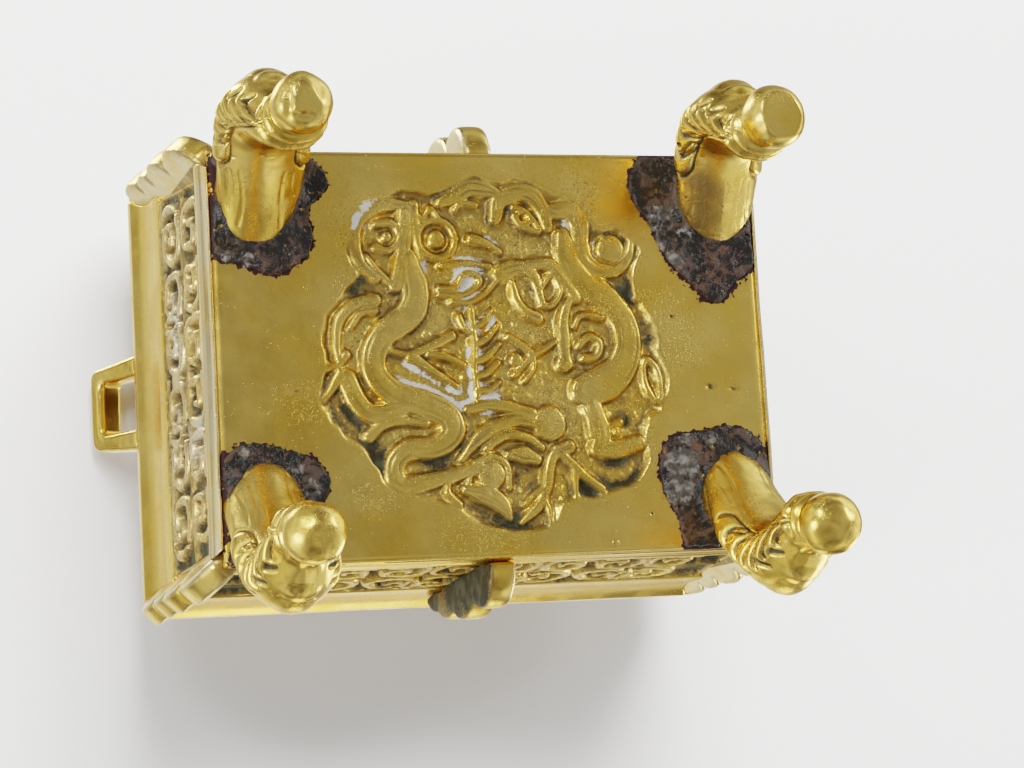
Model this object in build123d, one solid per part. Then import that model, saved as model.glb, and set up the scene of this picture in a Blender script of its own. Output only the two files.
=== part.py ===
"""A rectangular brass censer on four legs.

Millimetres, +Z up. X runs along the long walls and Y along the short ones.
The origin is the middle of the footprint, on the surface that the feet rest on.
"""
from build123d import *
import math
import os

# ---- driving dimensions -------------------------------------------------
PLATE_LENGTH = 130.0
PLATE_WIDTH = 93.3
PLATE_THICK = 3.0
PLATE_CHAMFER = 0.6
LEG_HEIGHT = 53.4
BODY_HEIGHT = 71.7  # from the underside of the plate to the top of the rim
RIM_OVERHANG = 7.2  # of the rim's outer face beyond the plate
RIM_BAND = 4.0  # height of the plain vertical band round the rim
WALL_INSET = 3.0  # how far each wall stands on the plate

ROUNDEL_RADIUS = 40.5  # of the sunk roundel under the plate
ROUNDEL_DEPTH = 1.0
BOSS_RADIUS = 9.0  # of the island left standing in its middle
PLUG_RADIUS = 1.2
PLUG_AT = (25.7, 44.6)

CORNER_FLANGE_THICK = 6.0
SIDE_FLANGE_THICK = 7.0

HANDLE_ROOT_WIDTH = 24.0
HANDLE_TIP_WIDTH = 20.5
HANDLE_LENGTH = 21.0
HANDLE_DEPTH = 7.0
HANDLE_TILT = 28.0  # degrees outward from upright
HANDLE_ROOT_OFFSET = 3.2  # middle of the root beyond the plate's edge
HANDLE_HOLE_WIDTH = 13.0
HANDLE_BAR = 4.5
HANDLE_CORNER = 3.0
HANDLE_HOLE_CORNER = 1.5

LEG_ROOT_RADIUS = 9.2
LEG_KNEE_RADIUS = 8.8
LEG_SHANK_RADIUS = 8.4
LEG_TRUNK_RADIUS = 5.6
TOE_RADIUS = 6.2
KNEE_DROP = 21.0  # below the plate
TOE_DROP = 49.0  # below the plate
BRAZE_THICK = 1.3

HALF_L = PLATE_LENGTH / 2
HALF_W = PLATE_WIDTH / 2
TOP = LEG_HEIGHT + BODY_HEIGHT

# Each leg was set by hand, so each leans a little differently: (x, y) of the
# root, of the knee and of the ball toe.
LEGS = {
    "front_left": ((-54.6, -36.2), (-56.3, -51.2), (-53.8, -44.8)),
    "front_right": ((55.6, -34.6), (52.6, -50.8), (51.2, -43.2)),
    "rear_left": ((-55.6, 34.5), (-55.2, 50.6), (-55.3, 43.2)),
    "rear_right": ((55.7, 34.3), (57.6, 51.2), (57.6, 45.0)),
}

# Outline of each pool of braze on the plate.
BRAZE_OUTLINES = {
    "front_left": [
        (-64.4, -44), (-64.6, -29), (-63.5, -22), (-57, -20), (-52, -18),
        (-45, -21), (-41.8, -26), (-42, -34), (-38.2, -38), (-41, -44.5),
    ],
    "front_right": [
        (37.5, -46), (35.2, -36), (39.5, -29), (42, -23), (48, -16),
        (55, -11), (59.5, -15.5), (64.4, -20), (64.6, -33), (64.2, -44),
    ],
    "rear_left": [
        (-64.2, 45.5), (-64.6, 30), (-64, 22.5), (-57, 19.6), (-51, 21),
        (-44, 23.2), (-40.6, 29), (-43, 35), (-46, 43.5), (-56, 46),
    ],
    "rear_right": [
        (50, 46.2), (42.5, 46), (41.2, 39), (38.8, 34), (40, 21),
        (47, 19.2), (54, 18.2), (60, 19.2), (64.5, 25), (64.3, 44),
    ],
}

# Lobes of the flanges, from the plate up. Each is (tip out, tip height,
# notch out, notch height), measured from the plate's corner or edge.
CORNER_LOBES = [
    (6.6, 12.0, 5.8, 26.0),
    (8.8, 33.0, 7.2, 42.0),
    (9.2, 47.5, 8.2, 53.5),
    (10.4, 61.0, 9.4, BODY_HEIGHT - RIM_BAND),
]
SIDE_LOBES = [
    (9.2, 10.0, 8.6, 22.0),
    (12.4, 31.0, 10.2, 40.0),
    (11.6, 46.5, 9.6, 53.0),
    (9.0, 58.0, 5.4, 64.0),
]
# The hand-made flanges differ: how far each one's lobes reach, as a share.
FLANGE_REACH = {
    (-1, -1): 1.0,
    (1, -1): 1.0,
    (-1, 1): 1.0,
    (1, 1): 0.8,
    "front": 0.9,
    "rear": 1.0,
}


# ---- walls --------------------------------------------------------------
def wall_section(short_end):
    """Closed outline of a wall: (out from the plate's edge, height)."""
    rim_foot = BODY_HEIGHT - RIM_BAND
    with BuildSketch(Plane.XZ) as section:
        with BuildLine():
            if short_end:
                # The short walls hang beside the plate and carry a bead.
                Polyline((-WALL_INSET, PLATE_THICK), (0, PLATE_THICK), (0, 0), (0.4, 0))
                ThreePointArc((0.4, 0), (2.1, 4.6), (1.2, 9.0))
                Line((1.2, 9.0), (0.1, 9.8))
            else:
                Line((-WALL_INSET, PLATE_THICK), (0, PLATE_THICK))
                Polyline((0, PLATE_THICK), (1.0, 10.5), (0.1, 11.3))
                Line((0.1, 11.3), (0.1, 12.0))
            foot = (0.1, 9.8) if short_end else (0.1, 12.0)
            Polyline(foot, (3.1, 46.2), (4.1, 46.9), (4.4, 51.5))
            ThreePointArc((4.4, 51.5), (4.9, 60.5), (RIM_OVERHANG, rim_foot))
            Polyline(
                (RIM_OVERHANG, rim_foot), (RIM_OVERHANG, BODY_HEIGHT), (0, BODY_HEIGHT),
                (0.5, 50.0), (-WALL_INSET, PLATE_THICK),
            )
        make_face()
    return section.sketch


def wall(short_end, half_length):
    """A wall facing +X, mitred to meet the sides of the corner flanges."""
    mitre = CORNER_FLANGE_THICK / math.sqrt(2)
    inner, outer = -WALL_INSET - 2, RIM_OVERHANG + 3
    bar = extrude(wall_section(short_end), half_length + outer, both=True)
    plan = Polyline(
        (inner, -half_length - inner + mitre), (outer, -half_length - outer + mitre),
        (outer, half_length + outer - mitre), (inner, half_length + inner - mitre),
        close=True,
    )
    return bar & extrude(make_face(plan), BODY_HEIGHT)


def short_wall(side):
    turn = 0 if side > 0 else 180
    return Rot(0, 0, turn) * (Pos(HALF_L, 0, LEG_HEIGHT) * wall(True, HALF_W))


def long_wall(side):
    return Rot(0, 0, 90 * side) * (Pos(HALF_W, 0, LEG_HEIGHT) * wall(False, HALF_L))


# ---- flanges ------------------------------------------------------------
def lobed_blade(start, lobes, reach, inner, thick):
    """A blade in the XZ plane with one round lobe between each two notches."""
    with BuildSketch(Plane.XZ) as outline:
        with BuildLine():
            last = start
            for tip_out, tip_height, out, height in lobes:
                ThreePointArc(last, (tip_out * reach, tip_height), (out * reach, height))
                last = (out * reach, height)
            Polyline(last, *inner, start)
        make_face()
    return extrude(outline.sketch, thick / 2, both=True)


def corner_flange(side_x, side_y):
    """Diagonal blade between two walls. Its top fills the corner of the rim."""
    root2 = math.sqrt(2)
    half = CORNER_FLANGE_THICK / 2
    rim_foot = BODY_HEIGHT - RIM_BAND
    inner_rim = 0.5 * (BODY_HEIGHT - rim_foot) / (BODY_HEIGHT - 50.0)
    inner = [
        (root2 * inner_rim - half, rim_foot),
        (root2 * 0.5 - half, 50.0),
        (-root2 * WALL_INSET - half, PLATE_THICK),
    ]
    reach = FLANGE_REACH[side_x, side_y]
    start = (0.6, PLATE_THICK)
    blade = lobed_blade(start, CORNER_LOBES, reach, inner, CORNER_FLANGE_THICK)
    crown = Polyline(
        inner[0], (12, rim_foot), (12, BODY_HEIGHT), (-half, BODY_HEIGHT), close=True
    )
    crown = extrude(make_face(Plane.XZ * crown), half, both=True)
    turn = math.degrees(math.atan2(side_y, side_x))
    place = Pos(side_x * HALF_L, side_y * HALF_W, LEG_HEIGHT) * Rot(0, 0, turn)
    rim = Box(PLATE_LENGTH + 2 * RIM_OVERHANG, PLATE_WIDTH + 2 * RIM_OVERHANG, 400)
    return (place * blade) + ((place * crown) & rim)


def side_flange(side, walls):
    """Blade in the middle of a long wall, cut to the wall's face."""
    inner = [(3.0, 64.0), (-1.0, PLATE_THICK + 2)]
    reach = FLANGE_REACH["front" if side < 0 else "rear"]
    start = (0.0, PLATE_THICK + 2)
    blade = lobed_blade(start, SIDE_LOBES, reach, inner, SIDE_FLANGE_THICK)
    blade = Rot(0, 0, 90 * side) * (Pos(HALF_W, 0, LEG_HEIGHT) * blade)
    return (blade - walls).solids().sort_by(SortBy.VOLUME)[-1]


# ---- plate, legs and braze ----------------------------------------------
def plug():
    return Pos(*PLUG_AT, LEG_HEIGHT + PLATE_THICK / 2) * Cylinder(PLUG_RADIUS, PLATE_THICK)


def base_plate():
    plate = Pos(0, 0, LEG_HEIGHT) * Box(
        PLATE_LENGTH, PLATE_WIDTH, PLATE_THICK, align=(Align.CENTER, Align.CENTER, Align.MIN)
    )
    lower = plate.edges().filter_by(Axis.X).group_by(Axis.Z)[0]
    plate = chamfer(lower, PLATE_CHAMFER)
    ring = Pos(0, 0, LEG_HEIGHT) * (Circle(ROUNDEL_RADIUS) - Circle(BOSS_RADIUS))
    return plate - extrude(ring, ROUNDEL_DEPTH) - plug()


def oblique_cone(low, low_radius, high, high_radius):
    """A cone between two level circles that need not be one above the other."""
    rings = [
        Pos(*low) * Circle(low_radius),
        Pos(*high) * Circle(high_radius),
    ]
    return loft(rings)


def leg(root, knee, toe):
    root = (*root, LEG_HEIGHT)
    knee = (*knee, LEG_HEIGHT - KNEE_DROP)
    toe = (*toe, LEG_HEIGHT - TOE_DROP)
    solid = oblique_cone(knee, LEG_SHANK_RADIUS, root, LEG_ROOT_RADIUS)
    solid += oblique_cone(toe, LEG_TRUNK_RADIUS, knee, LEG_SHANK_RADIUS)
    solid += Pos(*knee) * Sphere(LEG_KNEE_RADIUS)
    solid += Pos(*toe) * Sphere(TOE_RADIUS)
    above_floor = Box(400, 400, 400, align=(Align.CENTER, Align.CENTER, Align.MIN))
    return solid & above_floor


def braze(outline, leg_solid):
    pool = extrude(make_face(Pos(0, 0, LEG_HEIGHT) * Spline(*outline, periodic=True)), -BRAZE_THICK)
    inside = Pos(0, 0, LEG_HEIGHT) * Box(PLATE_LENGTH - 1, PLATE_WIDTH - 2 * PLATE_CHAMFER, 10)
    return ((pool & inside) - leg_solid).solids().sort_by(SortBy.VOLUME)[-1]


# ---- handles ------------------------------------------------------------
def handle(side):
    """A tapered loop standing on the rim and leaning outward."""
    below = 6.0  # extra length under the rim, trimmed off level
    taper = (HANDLE_ROOT_WIDTH - HANDLE_TIP_WIDTH) / 2 / HANDLE_LENGTH
    root, tip = HANDLE_ROOT_WIDTH / 2, HANDLE_TIP_WIDTH / 2
    with BuildSketch(Plane.YZ) as outline:
        with BuildLine():
            Polyline(
                (-root - taper * below, -below), (root + taper * below, -below),
                (tip, HANDLE_LENGTH), (-tip, HANDLE_LENGTH), close=True,
            )
        make_face()
        fillet(outline.vertices().group_by(Axis.Z)[-1], HANDLE_CORNER)
        hole_height = HANDLE_LENGTH - HANDLE_BAR + below
        with Locations((0, (HANDLE_LENGTH - HANDLE_BAR - below) / 2)):
            RectangleRounded(HANDLE_HOLE_WIDTH, hole_height, HANDLE_HOLE_CORNER, mode=Mode.SUBTRACT)
    loop = extrude(outline.sketch, HANDLE_DEPTH / 2, both=True)
    loop = chamfer(loop.edges().filter_by(GeomType.LINE).filter_by(Axis.Y), 0.8)
    loop = Pos(HALF_L + HANDLE_ROOT_OFFSET, 0, TOP) * Rot(0, HANDLE_TILT, 0) * loop
    loop &= Pos(0, 0, TOP) * Box(400, 400, 100, align=(Align.CENTER, Align.CENTER, Align.MIN))
    return Rot(0, 0, 0 if side > 0 else 180) * loop


# ---- assembly -----------------------------------------------------------
def build_parts():
    sides = {"left": -1, "right": 1}
    ends = {"front": -1, "rear": 1}
    parts = {"base_plate": base_plate(), "casting_plug": plug()}
    for name, side in sides.items():
        parts[name + "_wall"] = short_wall(side)
        parts[name + "_handle"] = handle(side)
    for name, end in ends.items():
        parts[name + "_wall"] = long_wall(end)
        parts[name + "_flange"] = side_flange(end, parts[name + "_wall"])
        for side_name, side in sides.items():
            parts[name + "_" + side_name + "_flange"] = corner_flange(side, end)
    for name, (root, knee, toe) in LEGS.items():
        parts[name + "_leg"] = leg(root, knee, toe)
        parts[name + "_braze"] = braze(BRAZE_OUTLINES[name], parts[name + "_leg"])
    return parts


os.makedirs("parts", exist_ok=True)
for node, shape in build_parts().items():
    export_step(shape, "parts/" + node + ".step")
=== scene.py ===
import itertools
import math

import bmesh
import bpy
import numpy as np
from mathutils import Matrix, Vector
from mathutils.bvhtree import BVHTree


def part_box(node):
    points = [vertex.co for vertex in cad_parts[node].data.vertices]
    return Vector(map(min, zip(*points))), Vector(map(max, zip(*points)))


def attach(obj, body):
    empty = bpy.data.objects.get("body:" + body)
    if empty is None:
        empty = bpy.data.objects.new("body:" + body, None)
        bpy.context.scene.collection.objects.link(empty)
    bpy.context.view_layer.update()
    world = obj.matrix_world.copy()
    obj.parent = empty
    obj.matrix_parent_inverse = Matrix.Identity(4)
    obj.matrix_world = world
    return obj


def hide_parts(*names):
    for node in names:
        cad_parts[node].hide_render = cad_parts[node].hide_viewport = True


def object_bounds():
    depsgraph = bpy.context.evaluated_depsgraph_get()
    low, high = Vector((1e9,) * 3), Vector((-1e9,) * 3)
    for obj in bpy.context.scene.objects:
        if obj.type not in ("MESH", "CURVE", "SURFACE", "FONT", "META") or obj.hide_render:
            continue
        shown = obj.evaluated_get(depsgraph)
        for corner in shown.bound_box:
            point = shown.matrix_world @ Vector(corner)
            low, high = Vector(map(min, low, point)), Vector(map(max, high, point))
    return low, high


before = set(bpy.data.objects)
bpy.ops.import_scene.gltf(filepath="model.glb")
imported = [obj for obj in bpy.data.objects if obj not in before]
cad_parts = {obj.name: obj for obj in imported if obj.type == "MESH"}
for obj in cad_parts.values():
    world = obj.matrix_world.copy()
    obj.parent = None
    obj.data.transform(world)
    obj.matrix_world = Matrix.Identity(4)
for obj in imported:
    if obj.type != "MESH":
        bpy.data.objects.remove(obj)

# The shapes below are worked out in millimetres in the frame's axes, and
# make_object() turns them into metres.
MM = 0.001
CAD_LOW, CAD_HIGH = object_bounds()

SIDES = {"left": -1, "right": 1}
ENDS = {"front": -1, "rear": 1}


def node_box(node):
    """Lowest and highest corner of a CAD node, in millimetres."""
    low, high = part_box(node)
    return np.array(low) / MM, np.array(high) / MM


PLATE_LOW, PLATE_HIGH = node_box("base_plate")
PLATE_Z = PLATE_LOW[2]  # underside of the plate
HALF_X, HALF_Y = PLATE_HIGH[0], PLATE_HIGH[1]


# ---- numbers ------------------------------------------------------------
def smoothstep(low, high, value):
    t = np.clip((value - low) / (high - low), 0.0, 1.0)
    return t * t * (3.0 - 2.0 * t)


def noise(points, size, seed=0):
    """Smooth noise in -1..1, with lumps about `size` millimetres across."""
    q = np.asarray(points, float) / size + 100.0
    cell = np.floor(q).astype(np.int64)
    t = q - cell
    t = t * t * (3.0 - 2.0 * t)
    total = np.zeros(len(q))
    for corner in itertools.product((0, 1), repeat=3):
        c = cell + corner
        mixed = c[:, 0] * 73856093 ^ c[:, 1] * 19349663 ^ c[:, 2] * 83492791
        mixed = (mixed ^ (seed + 1) * 2654435761) & 0xFFFFFFFF
        mixed = ((mixed ^ (mixed >> 15)) * 2246822519) & 0xFFFFFFFF
        mixed = ((mixed ^ (mixed >> 13)) * 3266489917) & 0xFFFFFFFF
        weight = np.prod(np.where(corner, t, 1.0 - t), axis=1)
        total += weight * (mixed / 0xFFFFFFFF)
    return 2.0 * total - 1.0


def rough_noise(points, size, seed=0, octaves=3):
    total = np.zeros(len(points))
    for octave in range(octaves):
        total += noise(points, size / 2 ** octave, seed + 17 * octave) / 2 ** octave
    return total / 1.6


def flat_noise(x, y, size, seed, kind=noise):
    """Either kind of noise over a flat grid of points."""
    points = np.stack([x.ravel(), y.ravel(), np.zeros(x.size)], axis=1)
    return kind(points, size, seed).reshape(x.shape)


def curve(points, step=0.6, closed=False):
    """A smooth line through 2-D or 3-D points, as closely spaced points."""
    p = np.asarray(points, float)
    if closed:
        p = np.concatenate([p[-1:], p, p[:2]])
    else:
        p = np.concatenate([2 * p[:1] - p[1:2], p, 2 * p[-1:] - p[-2:-1]])
    out = []
    for a, b, c, d in zip(p, p[1:], p[2:], p[3:]):
        count = max(2, int(np.linalg.norm(c - b) / step))
        t = np.arange(count)[:, None] / count
        out.append(0.5 * (2 * b + (c - a) * t + (2 * a - 5 * b + 4 * c - d) * t ** 2
                          + (3 * b - a - 3 * c + d) * t ** 3))
    if not closed:
        out.append(p[-2][None])
    return np.concatenate(out)


def inside_stroke(x, y, points, width, closed=False):
    """How far each point lies inside a stroke of that width, negative outside.

    width is one number, or a first and a last one for a stroke that tapers.
    """
    path = curve(points, closed=closed)
    if closed:
        path = np.concatenate([path, path[:1]])
    widths = np.broadcast_to(width, 2) if np.size(width) < 3 else np.asarray(width)
    along = np.linspace(0, len(widths) - 1, len(path))
    half = np.interp(along, np.arange(len(widths)), widths) / 2
    depth = np.full(x.shape, -1e3)
    margin = half.max() + 4.0
    near = (x > path[:, 0].min() - margin) & (x < path[:, 0].max() + margin)
    near &= (y > path[:, 1].min() - margin) & (y < path[:, 1].max() + margin)
    px, py = x[near], y[near]
    best = np.full(px.shape, -1e3)
    for a, b, ra, rb in zip(path, path[1:], half, half[1:]):
        d = b - a
        t = np.clip(((px - a[0]) * d[0] + (py - a[1]) * d[1]) / (d @ d), 0, 1)
        gap = np.hypot(px - a[0] - t * d[0], py - a[1] - t * d[1])
        best = np.maximum(best, ra + (rb - ra) * t - gap)
    depth[near] = best
    return depth


def inside_outline(x, y, outline):
    """Distance inside a closed outline, negative outside."""
    path = curve(outline, step=1.5, closed=True)
    path = np.concatenate([path, path[:1]])
    gap = np.full(x.shape, 1e9)
    crossings = np.zeros(x.shape, int)
    for a, b in zip(path, path[1:]):
        d = b - a
        t = np.clip(((x - a[0]) * d[0] + (y - a[1]) * d[1]) / (d @ d), 0, 1)
        gap = np.minimum(gap, np.hypot(x - a[0] - t * d[0], y - a[1] - t * d[1]))
        spans = (a[1] > y) != (b[1] > y)
        rise = d[1] if d[1] else 1e-9
        crossings += spans & (x < a[0] + (y - a[1]) / rise * d[0])
    return np.where(crossings % 2 == 1, gap, -gap)


def blur(field, rounds):
    """Softens a 2-D field by a few rounds of a small box filter."""
    f = field.astype(float)
    for _ in range(rounds):
        for axis in (0, 1):
            padded = np.concatenate([f.take([0], axis), f, f.take([-1], axis)], axis)
            n = padded.shape[axis]
            pick = [padded.take(range(i, n - 2 + i), axis) for i in range(3)]
            f = (pick[0] + pick[1] + pick[2]) / 3
    return f


# ---- meshes -------------------------------------------------------------
def grid_quads(rows, cols, wrap=False):
    """Faces of a grid whose points run along columns first."""
    r, c = np.meshgrid(np.arange(rows - 1), np.arange(cols if wrap else cols - 1), indexing="ij")
    nxt = (c + 1) % cols
    quads = [r * cols + c, r * cols + nxt, (r + 1) * cols + nxt, (r + 1) * cols + c]
    return np.stack(quads, -1).reshape(-1, 4)


def add_object(name, data):
    """A new object with that mesh, light or camera, in the scene."""
    thing = bpy.data.objects.new(name, data)
    bpy.context.scene.collection.objects.link(thing)
    return thing


def make_object(name, points, faces):
    mesh = bpy.data.meshes.new(name)
    mesh.from_pydata((np.asarray(points) * MM).tolist(), [], [list(map(int, f)) for f in faces])
    mesh.validate()
    bm = bmesh.new()
    bm.from_mesh(mesh)
    bmesh.ops.recalc_face_normals(bm, faces=bm.faces)
    bm.to_mesh(mesh)
    bm.free()
    mesh.shade_smooth()
    return add_object(name, mesh)


def read_points(piece):
    co = np.zeros(len(piece.data.vertices) * 3)
    piece.data.vertices.foreach_get("co", co)
    return co.reshape(-1, 3) / MM


def write_points(piece, points):
    piece.data.vertices.foreach_set("co", (points * MM).ravel())
    piece.data.update()


def point_normals(piece):
    normals = np.zeros(len(piece.data.vertices) * 3)
    piece.data.vertex_normals.foreach_get("vector", normals)
    return normals.reshape(-1, 3)


def relaxed(piece, points, rounds):
    """The points after rounds of moving each to the middle of its neighbours."""
    ends = np.zeros(len(piece.data.edges) * 2, int)
    piece.data.edges.foreach_get("vertices", ends)
    a, b = ends.reshape(-1, 2).T
    count = np.bincount(np.concatenate([a, b]), minlength=len(points))[:, None]
    for _ in range(rounds):
        total = np.zeros_like(points)
        for axis in range(3):
            total[:, axis] += np.bincount(a, points[b, axis], len(points))
            total[:, axis] += np.bincount(b, points[a, axis], len(points))
        points = points + 0.6 * (total / np.maximum(count, 1) - points)
    return points


def set_fields(piece, pad=0.0, **fields):
    """Stores values from 0 to 1 on a piece's points, and `pad` on those past a field's end."""
    for name, field in fields.items():
        values = np.full(len(piece.data.vertices), pad, np.float32)
        values[:field.size] = np.clip(field.ravel(), 0, 1)
        layer = piece.data.attributes.new(name, "FLOAT", "POINT")
        layer.data.foreach_set("value", values)


def mark_hollows(piece, rounds=14, depth=0.35, extra=0.0):
    """Stores in "dirt" how far each point lies in a hollow of the surface."""
    points = read_points(piece)
    sunk = np.sum((relaxed(piece, points, rounds) - points) * point_normals(piece), axis=1)
    worn = smoothstep(0.02, depth * 0.6, -sunk)
    # extra can carry painted shade, which is stored along with the grime of the hollows
    set_fields(piece, dirt=smoothstep(0.05, depth, sunk) + extra, worn=worn)


def finish_piece(piece, material, slot, *nodes):
    piece.data.materials.clear()
    piece.data.materials.append(material)
    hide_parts(*nodes)
    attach(piece, "root")


def cast_skin(piece, voxel, smoothing):
    """Puts one even skin round a piece's shells and softens its edges."""
    modifier = piece.modifiers.new("skin", "REMESH")
    modifier.mode = "VOXEL"
    modifier.voxel_size = voxel * MM
    graph = bpy.context.evaluated_depsgraph_get()
    mesh = bpy.data.meshes.new_from_object(piece.evaluated_get(graph))
    piece.modifiers.clear()
    piece.data = mesh
    write_points(piece, relaxed(piece, read_points(piece), smoothing))
    mesh.shade_smooth()
    return piece


def remeshed_node(node, voxel, smoothing):
    """A copy of a CAD node with an even skin and softened, cast edges."""
    piece = add_object(node + "_cast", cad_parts[node].data.copy())
    return cast_skin(piece, voxel, smoothing)


# ---- the plate and its roundel -------------------------------------------
SUNK_DEPTH = 1.5
SUNK_OUTLINE = [
    (-33, -28), (-29, -34.5), (-21, -38), (-12, -38), (-5, -41.5), (3, -40.5), (10, -40.5),
    (17, -37.5), (23.5, -34.5), (26, -29.5), (32, -29), (36, -24), (34, -16), (38, -8),
    (40.5, 0), (41.5, 8), (39, 14), (35, 18), (36, 25), (31, 31.5), (23, 34), (15, 35.5),
    (11, 40.5), (2, 41.5), (-7, 39), (-14, 35), (-22, 33), (-28, 29.5), (-31, 24),
    (-37.5, 18), (-42, 11), (-41, 2), (-40.5, -6), (-37, -13), (-32, -18), (-34, -23),
]
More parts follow.
